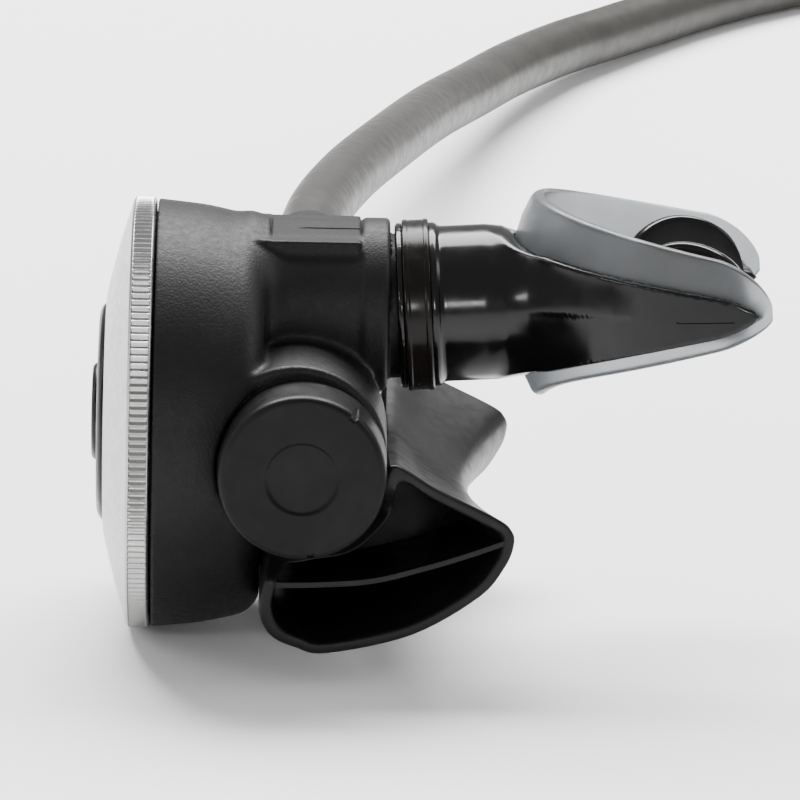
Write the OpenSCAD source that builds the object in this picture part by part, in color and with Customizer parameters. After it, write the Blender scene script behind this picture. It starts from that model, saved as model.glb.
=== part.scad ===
// Second stage of a scuba regulator with its low-pressure hose.
// X runs from the purge cover (-X) to the mouthpiece (+X), Y along the valve barrel from
// the end cap (-Y) to the hose (+Y), Z up from the table.
// Unless a comment says otherwise, x positions are measured from the barrel axis.

/* [Case] */
// Outer diameter of the bezel ring, whose rim stands on the table
bezel_d = 74.2; // [74:0.1:74.6]
// Outer diameter of the case at its open front
case_d = 73.8; // [73.4:0.1:74]
// Outer diameter of the case at its back edge
case_back_d = 68.4; // [67:0.2:69]
// Wall thickness of the case
case_wall = 2.4; // [2:0.1:2.6]
// Radius of the spigot that the bezel screws onto
spigot_r = 34.4; // [34.2:0.1:34.6]
// Height of the mouthpiece neck above the case axis
neck_rise = 20.1; // [19.8:0.1:20.4]
// Outer radius of the neck's end rim
neck_r = 14.8; // [14.6:0.1:15]
// Bore radius of the neck
neck_bore_r = 11.9; // [11.5:0.1:12]

/* [Valve] */
// Height of the barrel axis above the case axis
barrel_rise = 0.4; // [0:0.1:0.6]
// Outer radius of the metal valve barrel
barrel_r = 7.5; // [7.4:0.1:7.6]
// Bore radius of the valve barrel
barrel_bore_r = 5.5; // [5.4:0.1:5.6]
// Radius over the inlet thread, 9/16-18 UNF
inlet_thread_r = 7.12; // [7.1:0.01:7.13]
// Outer radius of the end cap
cap_r = 14.3; // [14.1:0.1:14.4]
// Half the length of the barrel assembly, cap face to inlet face
barrel_half = 42; // [41.9:0.1:42.3]
// Radial running clearance of moving fits
running = 0.07; // [0.05:0.01:0.09]

/* [Purge and diaphragm] */
// Radius of the purge button
button_r = 8.4; // [8:0.1:8.5]
// Travel of the purge button and of the diaphragm
purge_travel = 2.4; // [2:0.1:2.4]
// Radius of the diaphragm's rigid centre plate
plate_r = 12; // [10:0.5:14]

/* [Exhaust] */
// Half the width of the exhaust tee, from wing to wing
tee_half_w = 36.4; // [36:0.1:36.8]
// Height of the exhaust valve's centre above the table
exhaust_z = 16.6; // [16.4:0.1:16.8]
// Radius of the exhaust valve's disc
exhaust_r = 8; // [7.8:0.1:8]

/* [Mouthpiece] */
// Outer radius of the mouthpiece tube
mouth_r = 13.4; // [13.2:0.1:13.6]
// Upward pitch of the mouthpiece, degrees
mouth_pitch = 3.7; // [3:0.1:4]
// Roll of the bite wing about the mouthpiece axis, degrees
mouth_twist = 5.5; // [4:0.1:6]
// Length of the shield from its front to the ends of its arms
shield_l = 45.5; // [45:0.1:45.8]
// Half the width between the arms of the shield
shield_w = 27; // [26:0.1:27.4]
// Thickness of the shield
shield_t = 2.4; // [2:0.1:2.8]

/* [Hose] */
// Outer diameter of the hose
hose_d = 12; // [12:0.1:12.2]
// Outer radius of the crimped ferrules
ferrule_r = 8; // [7.8:0.1:8.1]
// Radius over the far fitting's thread, 3/8-24 UNF
fitting_thread_r = 4.76; // [4.74:0.01:4.76]

/* [Hidden] */
$fn = 64;
hull_fn = 32;
eps = 0.01;

// Places of the three main axes
barrel_x = -20.3;
case_z = bezel_d / 2;
barrel_z = case_z + barrel_rise;
neck_z = case_z + neck_rise;
mouth_x = barrel_x + 19.4;

// Places along the case axis, from the front
spigot_x = -29;
ledge_x = -26.6;
case_front_x = -25.5;
case_inner_x = -9.6;
case_back_x = -7;

// Places along the neck
neck_rim_x = 10.8;
neck_end_x = 14.35;

// Places along the barrel
near_wall_y = -23.5;
near_face_y = -31;
housing_r = 13;
housing_bore_r = 10.8;
housing_inner_y = 20.5;
pivot_x = -9.6;
pivot_y = -12;
nut_y = 35.6;
stem_y = 42.1;
hose_start_y = 52;

// Route of the hose's centreline, from the ferrule to the far fitting
hose_route = [
    [barrel_x, 52, barrel_z], [barrel_x, 82, 37.4], [-19.9, 115, 36.8], [-18.1, 150, 35],
    [-12.1, 196, 31], [-3.7, 247, 25.3], [4.9, 298, 19], [13.8, 339, 14], [23.1, 375, 10.4],
    [34.3, 406, 7.8], [43.9, 424, 6.8], [55.3, 443, 6.2], [67.3, 461, 6], [81.3, 478, 6],
    [97.3, 493, 6], [115.3, 504, 6], [137.3, 508, 6], [158.3, 504, 6], [177, 491, 6],
    [188.8, 471, 6], [193.5, 449, 6], [194.3, 426, 6], [194.3, 403, 6.2], [194.3, 380, 7.2],
    [194.3, 356, 8.2], [194.3, 340, 8.4]
];
hose_end = hose_route[len(hose_route) - 1];
hose_sides = 12;

// Outline of the exhaust tee as [x, z], clockwise from the top of the lip:
// outside and inside, at a wing's open end and at the waist in the middle
tee_wing = [
    [14.8, 38.7], [23, 34.6], [33.2, 29.7], [35.8, 27.6], [36.3, 25.2], [34.6, 21.8],
    [29.8, 16.3], [18.9, 9.3], [4.9, 5.7], [-0.7, 6.2], [-5, 8.4], [-6.9, 12.6],
    [-6.4, 16.4], [-4.5, 21.4], [0.6, 22.2], [7.8, 24], [13.2, 29.6]
];
tee_wing_inside = [
    [16.6, 35.6], [22.6, 32.6], [32.2, 27.9], [33.9, 26.7], [34.3, 25.2], [32.9, 22.6],
    [28.5, 17.7], [18.2, 11.2], [4.8, 7.7], [0.2, 8.1], [-3.1, 9.8], [-4.6, 12.9],
    [-4.3, 15.9], [-2.9, 19.6], [1, 20.3], [8.9, 22.4], [15, 28.8]
];
tee_waist = [
    [14.4, 35.4], [19.5, 32.4], [26, 28], [28.2, 25.6], [28.6, 23], [27.2, 19.6],
    [24, 15.6], [15.5, 9.8], [4.5, 6.6], [-0.5, 6], [-5, 6.6], [-6.8, 9], [-6.8, 17],
    [-6.6, 23.6], [-2.6, 23], [5, 24.2], [11.4, 29.2]
];
tee_waist_inside = [
    [15.6, 32.8], [19.2, 30.3], [25, 26.3], [26.4, 24.7], [26.7, 23.2], [25.5, 20.5],
    [22.7, 17], [14.7, 11.7], [4.4, 8.5], [0, 7.9], [-3.9, 8.5], [-4.9, 9.8], [-4.9, 16.8],
    [-4.7, 21.5], [-2.4, 21.1], [5.8, 22.4], [13, 28.2]
];

// Upper edge of the web across a wing's mouth, at the wing's end and at the waist
rib_t = 1.15;
rib_wing = [[-5.3, 17.8], [2, 17.9], [12.3, 18.8], [21.8, 21.4], [29, 23.8], [34.8, 26]];
rib_waist = [[-5.9, 16.4], [1, 16.5], [9, 17.2], [16, 18.8], [22, 20.8], [27.4, 22.8]];

// ---------------------------------------------------------------- functions
function unit(v) = v / norm(v);
function mix(a, b, t) = a + (b - a) * t;
function curve_point(a, b, c, d, t) =
    0.5 * (2 * b + (c - a) * t + (2 * a - 5 * b + 4 * c - d) * t * t
        + (3 * b - a - 3 * c + d) * t * t * t);
function pick(list, i) = list[max(0, min(len(list) - 1, i))];
function smooth_path(p, steps) = concat(
    [for (i = [0:len(p) - 2], s = [0:steps - 1])
        curve_point(pick(p, i - 1), p[i], p[i + 1], pick(p, i + 2), s / steps)],
    [p[len(p) - 1]]);
function smooth_loop(p, steps) = [
    for (i = [0:len(p) - 1], s = [0:steps - 1]) let (n = len(p))
        curve_point(p[(i + n - 1) % n], p[i], p[(i + 1) % n], p[(i + 2) % n], s / steps)];
function path_ring(p, i, r, sides) = let (
    along = unit(pick(p, i + 1) - pick(p, i - 1)),
    side = unit(cross(along, [0, 0, 1])),
    up = cross(side, along))
    [for (k = [0:sides - 1]) p[i] + r * (cos(360 * k / sides) * side
        - sin(360 * k / sides) * up)];
function helix(r0, r1, z0, z1, turns, steps) = [
    for (i = [0:turns * steps]) let (t = i / (turns * steps), a = 360 * i / steps)
        [mix(r0, r1, t) * cos(a), mix(r0, r1, t) * sin(a), mix(z0, z1, t)]];

// ---------------------------------------------------------------- placing
module on_case_axis() {
    translate([barrel_x, 0, case_z]) rotate([0, 90, 0]) children();
}

module on_neck_axis() {
    translate([barrel_x, 0, neck_z]) rotate([0, 90, 0]) children();
}

module on_barrel_axis() {
    translate([barrel_x, 0, barrel_z]) rotate([-90, 0, 0]) children();
}

module on_mouth_axis() {
    translate([mouth_x, 0, neck_z]) rotate([0, -mouth_pitch, 0]) children();
}

module in_bite_frame() {
    on_mouth_axis() rotate([-mouth_twist, 0, 0]) children();
}

// ---------------------------------------------------------------- shared shapes
// Closed skin through rings of points that all have the same count
module loft(rings) {
    n = len(rings[0]);
    m = len(rings);
    polyhedron(
        points = [for (r = rings, p = r) p],
        faces = concat(
            [[for (j = [0:n - 1]) j]],
            [for (i = [0:m - 2], j = [0:n - 1])
                [i * n + j, (i + 1) * n + j, (i + 1) * n + (j + 1) % n]],
            [for (i = [0:m - 2], j = [0:n - 1])
                [i * n + j, (i + 1) * n + (j + 1) % n, i * n + (j + 1) % n]],
            [[for (j = [n - 1:-1:0]) (m - 1) * n + j]]));
}

// Open-ended duct between matching outer and inner rings
module loft_shell(outer, inner) {
    n = len(outer[0]);
    m = len(outer);
    in = m * n;
    polyhedron(
        points = concat([for (r = outer, p = r) p], [for (r = inner, p = r) p]),
        faces = [for (i = [0:m - 2], j = [0:n - 1]) let (
            a = i * n + j, b = i * n + (j + 1) % n, c = b + n, d = a + n)
            each [[a, d, c], [a, c, b], [in + a, in + c, in + d], [in + a, in + b, in + c],
                if (i == 0) each [[a, b, in + b], [a, in + b, in + a]],
                if (i == m - 2) each [[d, in + c, c], [d, in + d, in + c]]]]);
}

// Round wire or tube along a path, with one radius or one radius for each point
module swept(path, radius, sides) {
    loft([for (i = [0:len(path) - 1])
        path_ring(path, i, is_list(radius) ? radius[i] : radius, sides)]);
}

// Tube about the local z axis, as radius-height pairs
module turned(profile) {
    rotate_extrude() polygon(profile);
}

module tube(r_out, r_in, z0, z1) {
    turned([[r_in, z0], [r_out, z0], [r_out, z1], [r_in, z1]]);
}

module disc(r, z0, z1) {
    translate([0, 0, z0]) cylinder(r = r, h = z1 - z0);
}

module oring(r_mid, r_cord, z) {
    rotate_extrude() translate([r_mid, z]) circle(r = r_cord, $fn = 24);
}

module hexagon(across_flats, z0, z1) {
    translate([0, 0, z0]) rotate([0, 0, 30])
        cylinder(d = across_flats / cos(30), h = z1 - z0, $fn = 6);
}

// ---------------------------------------------------------------- case
back_round = 2.5;
// Inner radius of the case where the end cap and the barrel nut are let into its wall
cap_seat_r = 29.5;

module case_solid() {
    on_case_axis() turned([
        [0, spigot_x], [spigot_r, spigot_x], [spigot_r, case_front_x],
        [case_d / 2, case_front_x], [case_d / 2 - 0.9, case_front_x + 9],
        [case_back_d / 2 + 0.1, case_back_x - back_round],
        [case_back_d / 2 - back_round * 0.3, case_back_x - back_round * 0.3],
        [case_back_d / 2 - back_round, case_back_x], [0, case_back_x]]);
    on_neck_axis() disc(neck_r - 0.4, case_back_x - 1, neck_rim_x + eps);
    on_neck_axis() turned([
        [0, neck_rim_x], [neck_r, neck_rim_x], [neck_r, neck_end_x - 0.6],
        [neck_r - 0.6, neck_end_x], [0, neck_end_x]]);
    translate([barrel_x - 6, -9.5, neck_z + 8]) cube([15.35, 19, 5.3]);
    on_barrel_axis() disc(housing_r, near_face_y + 4, -near_face_y);
    on_barrel_axis() translate([-1.1, -1.2, 0]) turned([
        [0, near_face_y], [14.6, near_face_y], [15.4, near_face_y + 1], [15.4, -12], [0, -12]]);
    on_mouth_axis() rotate([0, 90, 0]) disc(12.4, -8, 5);
}

module case_hollow() {
    on_case_axis() turned([
        [0, spigot_x - 1], [31.9, spigot_x - 1], [31.9, ledge_x], [29.6, ledge_x],
        [29.6, ledge_x + 1.6], [34.2, ledge_x + 2.6],
        [case_d / 2 - 0.9 - case_wall, case_front_x + 5],
        [cap_seat_r, case_front_x + 9], [cap_seat_r, case_inner_x], [0, case_inner_x]]);
    on_barrel_axis() disc(cap_r + 0.3, -case_d / 2, near_face_y);
    on_barrel_axis() disc(11.3, -near_face_y, case_d / 2);
    on_neck_axis() disc(neck_bore_r, case_inner_x - 1, neck_end_x - 2);
    on_mouth_axis() rotate([0, 90, 0]) disc(10.8, -9, 6);
    on_barrel_axis() disc(housing_bore_r, -housing_inner_y, housing_inner_y);
    on_barrel_axis() disc(barrel_r, near_wall_y - 1, -near_face_y + 1);
    on_barrel_axis() disc(10.45, near_face_y - 1, near_wall_y);
    on_barrel_axis() disc(9.1, -near_face_y - 1.6, -near_face_y + 1);
    translate([barrel_x - 6, -9.5, neck_z + 13.3]) cube([15.35, 19, 4]);
    translate([barrel_x, 0, exhaust_z]) rotate([0, 90, 0])
        disc(exhaust_r - 1, case_inner_x - 1, case_back_x + 1);
}

module case_body() {
    color("#1b1b1c") {
        difference() {
            case_solid();
            case_hollow();
        }
        translate([barrel_x, 0, exhaust_z]) rotate([0, 90, 0]) difference() {
            union() {
                disc(2.4, case_inner_x, case_back_x);
                for (a = [0:120:240]) rotate([0, 0, a]) translate([1.9, -0.7, case_inner_x])
                    cube([exhaust_r - 2.5, 1.4, case_back_x - case_inner_x]);
            }
            disc(1.3, case_inner_x - 1, case_back_x + 1);
        }
    }
}

// ---------------------------------------------------------------- exhaust tee
tee_stations = [for (i = [-7:7]) sign(i) * pow(abs(i) / 7, 0.8)];

function tee_flare(s) = pow(min(1, abs(s)), 1.8);

// How far a wing's rim is set back behind the end cap at a point of its section
function cap_tuck(p) = 6 * max(0, min(1, (20 - norm(p - [0, barrel_z])) / 4))
    * max(0, min(1, (34 - p[1]) / 4));

function tee_section(s, waist, wing) = [
    for (p = smooth_loop([for (i = [0:len(wing) - 1]) mix(waist[i], wing[i], tee_flare(s))], 2))
        [barrel_x + p[0], s * (tee_half_w - cap_tuck(p) * pow(abs(s), 3)), p[1]]];

// Section of the web that splits each wing's mouth
function rib_section(s) = let (
    line = [for (i = [0:len(rib_wing) - 1]) mix(rib_waist[i], rib_wing[i], tee_flare(s))])
    [for (p = concat(line, [for (i = [len(line) - 1:-1:0]) line[i] - [0, rib_t]]))
        [barrel_x + p[0], s * tee_half_w, p[1]]];

module exhaust_tee() {
    color("#19191a") {
        difference() {
            loft_shell([for (s = tee_stations) tee_section(s, tee_waist, tee_wing)],
                [for (s = tee_stations) tee_section(s, tee_waist_inside, tee_wing_inside)]);
            translate([barrel_x, 0, exhaust_z]) rotate([0, 90, 0])
                disc(exhaust_r + 0.6, case_back_x - 1, -3.2);
        }
    }
}

module exhaust_webs() {
    color("#19191a") for (middle = [-0.7, 0.7])
        loft([for (s = [-0.29, -0.1, 0.1, 0.29]) rib_section(middle + s)]);
}

module exhaust_valve() {
    color("#b9b4a4") translate([barrel_x, 0, exhaust_z]) rotate([0, 90, 0]) turned([
        [0, -14], [1.2, -14], [1.9, -13.2], [1.9, -12.4], [1.22, -12.2],
        [1.22, case_back_x + 0.05], [exhaust_r, case_back_x + 0.05],
        [exhaust_r, case_back_x + 0.45], [2, case_back_x + 0.95], [0, case_back_x + 1.1]]);
}

// ---------------------------------------------------------------- valve
module end_cap() {
    color("#161617") on_barrel_axis() difference() {
        turned([
            [0, -barrel_half + 0.5], [6, -barrel_half + 0.5], [6.3, -barrel_half],
            [cap_r - 0.9, -barrel_half], [cap_r - 0.25, -barrel_half + 0.3],
            [cap_r, -barrel_half + 0.9], [cap_r, near_face_y], [10.4, near_face_y],
            [10.4, -25.1], [0, -25.1]]);
        disc(8.6, -39.5, -24);
        difference() {
            disc(11, -28.9, -27.1);
            disc(9.2, -29, -27);
        }
    }
}

module end_cap_oring() {
    color("#101010") on_barrel_axis() oring(9.84, 0.6, -28);
}

module valve_barrel() {
    color("#c8b47a") on_barrel_axis() difference() {
        union() {
            turned([
                [0, near_wall_y - 1.5], [9.4, near_wall_y - 1.5], [9.4, near_wall_y],
                [barrel_r, near_wall_y], [barrel_r, 34.8], [inlet_thread_r, 35.2],
                [inlet_thread_r, barrel_half - 0.5], [inlet_thread_r - 0.5, barrel_half],
                [0, barrel_half]]);
            for (side = [-1, 1]) hull() {
                translate([pivot_x, side * 4.7, pivot_y]) rotate([90, 0, 0])
                    cylinder(r = 2.2, h = 1.8, center = true, $fn = hull_fn);
                translate([-6.3, side * 4.7, pivot_y]) cube([0.5, 1.8, 5.4], center = true);
            }
        }
        disc(barrel_bore_r, near_wall_y - 2, 27);
        disc(4, 26, barrel_half + 1);
        translate([-10, -4.1, -14.9]) cube([7, 8.2, 4.3]);
        translate([pivot_x, 0, pivot_y]) rotate([90, 0, 0])
            cylinder(r = 1, h = 20, center = true);
        translate([0, 0, 3]) rotate([90, 0, 0]) cylinder(r = 2.6, h = 20, center = true);
    }
}

module lever_pin() {
    color("#9a9da0") on_barrel_axis() translate([pivot_x, 0, pivot_y]) rotate([90, 0, 0])
        cylinder(r = 1, h = 10, center = true);
}

module barrel_nut() {
    color("#b8b9ba") on_barrel_axis() difference() {
        hexagon(19, -near_face_y, 34.5);
        disc(barrel_r, 30, 35);
    }
}

module barrel_oring() {
    color("#101010") on_barrel_axis() oring(8.3, 0.78, -near_face_y - 0.8);
}

module orifice() {
    color("#a9abad") on_barrel_axis() turned([
        [2, 13.5], [2.2, 13.2], [2.4, 13.5], [3.4, 17], [barrel_bore_r, 17.5],
        [barrel_bore_r, 19.2], [4.1, 19.2], [4.1, 20.8], [barrel_bore_r, 20.8],
        [barrel_bore_r, 27], [2, 27]]);
}

module orifice_oring() {
    color("#101010") on_barrel_axis() oring(4.8, 0.69, 20);
}

module spring_adjuster() {
    color("#c2a868") on_barrel_axis() difference() {
        union() {
            disc(barrel_bore_r, -24.5, -21);
            disc(1.6, -21 - eps, -19.5);
        }
        translate([-6, -0.5, -25]) cube([12, 1, 1.7]);
    }
}

module demand_lever() {
    hub_h = 7.2;
    color("#b4b6b8") translate([barrel_x, 0, barrel_z]) {
        difference() {
            union() {
                translate([pivot_x, pivot_y, 0])
                    cylinder(r = 2, h = hub_h, center = true);
                linear_extrude(5, center = true) polygon([
                    [pivot_x - 1.6, pivot_y + 1], [pivot_x + 0.2, pivot_y + 2.1],
                    [-23.4, 1], [-24.4, 0.2]]);
                translate([-24.4, 0, 0]) cylinder(r = 1.2, h = 5, center = true);
                for (side = [-1, 1]) translate([pivot_x, pivot_y - 0.7, side * 2.9 - 0.7])
                    cube([9.1, 1.4, 1.4]);
            }
            translate([pivot_x, pivot_y, 0])
                cylinder(r = 1 + running, h = 10, center = true);
        }
    }
}

module poppet() {
    guide_r = barrel_bore_r - running;
    color("#d8d6cc") on_barrel_axis() difference() {
        turned([
            [0, -17.5], [2.2, -17.5], [2.2, -15], [guide_r, -15], [guide_r, -12.9],
            [1.6, -12.9], [1.6, -9.9], [guide_r, -9.9], [guide_r, -7.5], [2.6, -7.5],
            [2.6, 7], [4.2, 8], [4.2, 12.6], [3.4, 12.6], [3.4, 11.2], [0, 11.2]]);
        for (a = [45:90:315]) rotate([0, 0, a]) translate([guide_r + 0.4, 0, -10.5])
            cylinder(r = 1.6, h = 4);
    }
}

module seat_disc() {
    color("#2c2c2c") on_barrel_axis() disc(3.4, 11.2, 13.1);
}

module poppet_spring() {
    color("#8f9294") on_barrel_axis()
        swept_coil(helix(3.6, 3.6, -20.5, -15.5, 3, 14), 0.45);
}

// Wire whose path winds round z, so its rings take the path's own plane
module swept_coil(path, r) {
    loft([for (i = [0:len(path) - 1]) let (
        along = unit(pick(path, i + 1) - pick(path, i - 1)),
        side = unit(cross(along, [path[i][0], path[i][1], 0])),
        out = cross(side, along))
        [for (k = [0:5]) path[i] + r * (cos(60 * k) * out + sin(60 * k) * side)]]);
}

module deflector_vane() {
    color("#1f1f20") on_neck_axis() intersection() {
        disc(neck_bore_r, 0, 7);
        translate([-1, -20, 0.5]) cube([1.4, 40, 6]);
    }
}

// ---------------------------------------------------------------- front
module diaphragm() {
    color("#3a3b3d") on_case_axis() turned([
        [0, -27.4], [16, -27.4], [19, -26.4], [22, -25.9], [25, -26.4], [28, -27.4],
        [29.8, -28], [31.7, -28], [31.7, ledge_x], [29, ledge_x], [25, -25.5], [22, -25.1],
        [19, -25.6], [16, ledge_x], [0, ledge_x]]);
}

module diaphragm_plate() {
    color("#a7a9ab") on_case_axis() disc(plate_r, ledge_x, ledge_x + 0.8);
}

module diaphragm_ring() {
    color("#e4e2da") on_case_axis() tube(31.6, 29.4, -29, -28);
}

module purge_guide() {
    color("#202021") on_case_axis() difference() {
        disc(31.6, -29.9, -29);
        disc(2.7, -30, -28);
        for (a = [0:60:300]) rotate([0, 0, a]) translate([18, 0, -30]) cylinder(r = 6.5, h = 2);
    }
}

module front_cover() {
    color("#151516") on_case_axis() difference() {
        turned([
            [0, -29.9], [0, -35.3], [17.6, -35.3], [18.6, -34.6], [19, -33.4], [24, -32],
            [28.4, -30.9], [31.4, -30.3], [31.6, -29.9]]);
        turned([
            [0, -29], [0, -34.3], [17.2, -34.3], [18, -33.2], [18.4, -32.2], [23.4, -30.9],
            [27, -29.9], [27, -29]]);
        disc(button_r + running, -36, -34);
        for (a = [0:30:330]) rotate([0, 0, a]) translate([11.4, -0.9, -36]) cube([4.6, 1.8, 3]);
    }
}

module purge_button() {
    color("#121213") on_case_axis() union() {
        turned([
            [0, -36.1], [4, -36.3], [7.6, -36.4], [8.2, -36.2], [button_r, -35.7],
            [button_r, -34.2], [9.8, -34.2], [9.8, -33.4], [2.6, -33.4],
            [2.6, -27.5], [0, -27.5]]);
    }
}

module purge_spring() {
    color("#9c9fa1") on_case_axis()
        swept_coil(helix(7.4, 4.6, -33.05, -30.25, 2, 16), 0.3);
}

module bezel_ring() {
    color("#c4c5c6") on_case_axis() turned([
        [spigot_r + 0.08, -25.85], [bezel_d / 2 - 0.3, -25.85], [bezel_d / 2, -26.1],
        [bezel_d / 2, -29.5], [bezel_d / 2 - 0.4, -29.8], [35.2, -30.2], [29.6, -31.9],
        [24.5, -33.2], [20.5, -34.1], [19.4, -34.1], [19.4, -33.55], [24, -32.3],
        [28.4, -31.2], [31.7, -30.6], [31.7, -29.3], [spigot_r + 0.08, -29.3]]);
}

// ---------------------------------------------------------------- mouthpiece
shield_u = 63;
shield_end = 84.8;
shield_steps = 22;

// Point on the shield's middle line in plan, and its outward direction
function arch(a) = [shield_u - shield_l * cos(a), shield_w * sin(a)];
function arch_out(a) = unit([-cos(a) / shield_l, sin(a) / shield_w]);
function shield_top(a) = 9 + 9.6 * cos(1.15 * a);
function shield_bottom(a) = -13.4 * cos(0.85 * a) - 3 * pow(cos(a), 12);
function leaf_top(a) = mix(9.3, 2.8, pow(max(0, (a - 30) / 48), 1.1));
function leaf_bottom(a) = mix(-10, -3, pow(max(0, (a - 30) / 48), 1.1));
// Share of the full height left where a wing rounds off between two angles
function tip(a, from, to) = sqrt(1 - pow(max(0, min(1, (abs(a) - from) / (to - from))), 2));

function arch_ring(a, o_in, o_out, low, high) = let (
    p = arch(a), n = arch_out(a),
    round_off = min(0.7, (high - low) / 4, (o_out - o_in) / 3))
    [for (c = [
        [o_out - round_off, high], [o_in + round_off, high], [o_in, high - round_off],
        [o_in, low + round_off], [o_in + round_off, low], [o_out - round_off, low],
        [o_out, low + round_off], [o_out, high - round_off]])
        [p[0] + n[0] * c[0], p[1] + n[1] * c[0], c[1]]];

// Sections of the duct from the round collar to the flat mouth opening, as
// [u, half width, top, bottom, squareness]
duct_outer = [
    [-3.5, 14.2, 14.2, -14.2, 1], [-2.4, 14.2, 14.2, -14.2, 1], [-2.3, 13.94, 13.94, -13.94, 1],
    [2.3, 13.94, 13.94, -13.94, 1], [2.4, 14.1, 14.1, -14.1, 1], [3.4, 13.8, 13.8, -13.8, 1],
    [3.8, mouth_r, mouth_r, -mouth_r, 1], [11.8, mouth_r, mouth_r, -mouth_r, 1],
    [15, 13.7, 12.9, -13, 0.95], [18.8, 14.8, 10.6, -12.2, 0.85], [22, 16, 8.9, -11.2, 0.75],
    [28, 18.4, 7.7, -9.8, 0.6], [33, 20.6, 7, -8.8, 0.5]
];
duct_inner = [
    [-4, 12.4, 12.4, -12.4, 1], [5, 12.4, 12.4, -12.4, 1], [5.2, 11, 11, -11, 1],
    [11.8, 10.6, 10.6, -10.6, 1], [18.8, 11.6, 7.8, -9, 0.8], [24, 12.4, 6.2, -7.6, 0.7],
    [36, 12.8, 6, -7.4, 0.7]
];

function duct_ring(d) = [
    for (k = [0:31]) let (a = 360 * k / 32, c = cos(a), s = sin(a), q = d[4])
        [d[0], d[1] * sign(c) * pow(abs(c), q), (s > 0 ? d[2] : -d[3]) * s]];

module duct(sections) {
    loft([for (d = sections) duct_ring(d)]);
}

module mouthpiece_body() {
    inside = [for (a = [-90:5:90]) arch(a) + (shield_t / 2 - 0.3) * arch_out(a)];
    color("#141415") {
        difference() {
            in_bite_frame() duct(duct_outer);
            in_bite_frame() duct(duct_inner);
            in_bite_frame() translate([0, 0, -40]) linear_extrude(80)
                polygon(concat([[90, -shield_w]], inside, [[90, shield_w]]));
        }
        for (side = [-1, 1]) in_bite_frame()
            loft([for (i = [0:12]) let (
                t = sin(90 * (side > 0 ? i : 12 - i) / 12),
                a = side * mix(30, 82.5, t))
                arch_ring(a, shield_t / 2 - 0.3, shield_t / 2 + 0.7,
                    leaf_bottom(abs(a)) * tip(a, 74, 83), leaf_top(abs(a)) * tip(a, 74, 83))]);
    }
}

module mouthpiece_shield() {
    color("#8d959b") in_bite_frame() difference() {
        loft([for (i = [0:shield_steps]) let (a = shield_end * sin(180 * i / shield_steps - 90))
            arch_ring(a, -shield_t / 2, shield_t / 2 - 0.3,
                shield_bottom(a) * tip(a, 73, shield_end + 0.2),
                shield_top(a) * tip(a, 73, shield_end + 0.2))]);
        duct(duct_inner);
    }
}

module bite_tabs() {
    color("#1a1a1b") for (side = [-1, 1]) in_bite_frame() {
        loft([for (i = [0:10]) let (a = side > 0 ? mix(38, 84, i / 10) : mix(-84, -38, i / 10))
            arch_ring(a, -mix(3, 11, min(1, (abs(a) - 38) / 10)), -shield_t / 2, -2.2, 1.4)]);
        loft([for (i = [0:12]) let (
            t = i / 12,
            a = side > 0 ? mix(45, 81, t) : mix(-81, -45, t),
            lift = 3.4 + 7.6 * pow(sin(180 * t), 0.6))
            arch_ring(a, -11, -8.4, -min(lift, 5.5), lift)]);
    }
}

module mouthpiece_clamp() {
    color("#231f1d") in_bite_frame() rotate([0, 90, 0]) {
        tube(14.74, 13.94, -2.3, 2.3);
        rotate([0, 0, 105]) translate([14.3, -2, -1.8]) cube([1.4, 4, 3.6]);
    }
}

// ---------------------------------------------------------------- hose
module hose_nut() {
    color("#b9babb") on_barrel_axis() difference() {
        union() {
            hexagon(17.5, nut_y, 45.5);
            disc(7.8, 45.5 - eps, 48);
        }
        disc(inlet_thread_r + running, nut_y - 1, 43.45);
        disc(4.8 + running, 43, 49);
    }
}

module hose_stem() {
    color("#c0c1c2") on_barrel_axis() difference() {
        turned([
            [0, 37.5], [3.7, 37.5], [3.98, 38], [3.98, 38.6], [3.2, 38.6], [3.2, 40.2],
            [3.98, 40.2], [3.98, stem_y], [6.4, stem_y], [6.4, 43.35], [4.8, 43.35],
            [4.8, hose_start_y], [0, hose_start_y]]);
        disc(2.4, 37, 53);
    }
}

module stem_oring() {
    color("#101010") on_barrel_axis() oring(3.58, 0.38, 39.4);
}

module hose_ferrule() {
    color("#b3b4b5") on_barrel_axis() turned([
        [4.8, 49], [ferrule_r - 0.5, 49], [ferrule_r, 49.5], [ferrule_r, 66], [7.4, 67.5],
        [7.4, 70], [6.02, 70], [6.02, hose_start_y], [4.8, hose_start_y]]);
}

hose_path = smooth_path(hose_route, 3);

module hose() {
    color("#5c5a57") swept(hose_path, hose_d / 2, hose_sides);
}

// Tapered sleeve over the ferrule and the first 66 mm of the hose
sleeve_route = [
    [barrel_x, 48.4, barrel_z], [barrel_x, 60, barrel_z], [barrel_x, 71, barrel_z],
    hose_route[1], [-20.2, 98, 37.2], [-20, 110, 36.9], [-19.8, 118, 36.6]
];
sleeve_radii = [9.4, 9.6, 9.4, 8.6, 8, 7.8, 7.6];
sleeve_bore = [8.15, 8.15, 8.15, 6.35, 6.35, 6.35, 6.35];

module hose_protector() {
    color("#1c1c1d") difference() {
        swept(sleeve_route, sleeve_radii, 24);
        swept(concat([[barrel_x, 47, barrel_z]], [for (i = [1:5]) sleeve_route[i]],
            [[-19.5, 126, 36.3]]), sleeve_bore, 24);
    }
}

// Placing for the far fitting: z runs on from the end of the hose
module on_hose_end() {
    translate(hose_end) rotate([90, 0, 0]) children();
}

module end_ferrule() {
    color("#b3b4b5") on_hose_end() turned([
        [6.05, -20], [7.4, -20], [7.4, -17.5], [ferrule_r, -16], [ferrule_r, 2.5],
        [ferrule_r - 0.5, 3], [4.8, 3], [4.8, 0], [6.05, 0]]);
}

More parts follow.
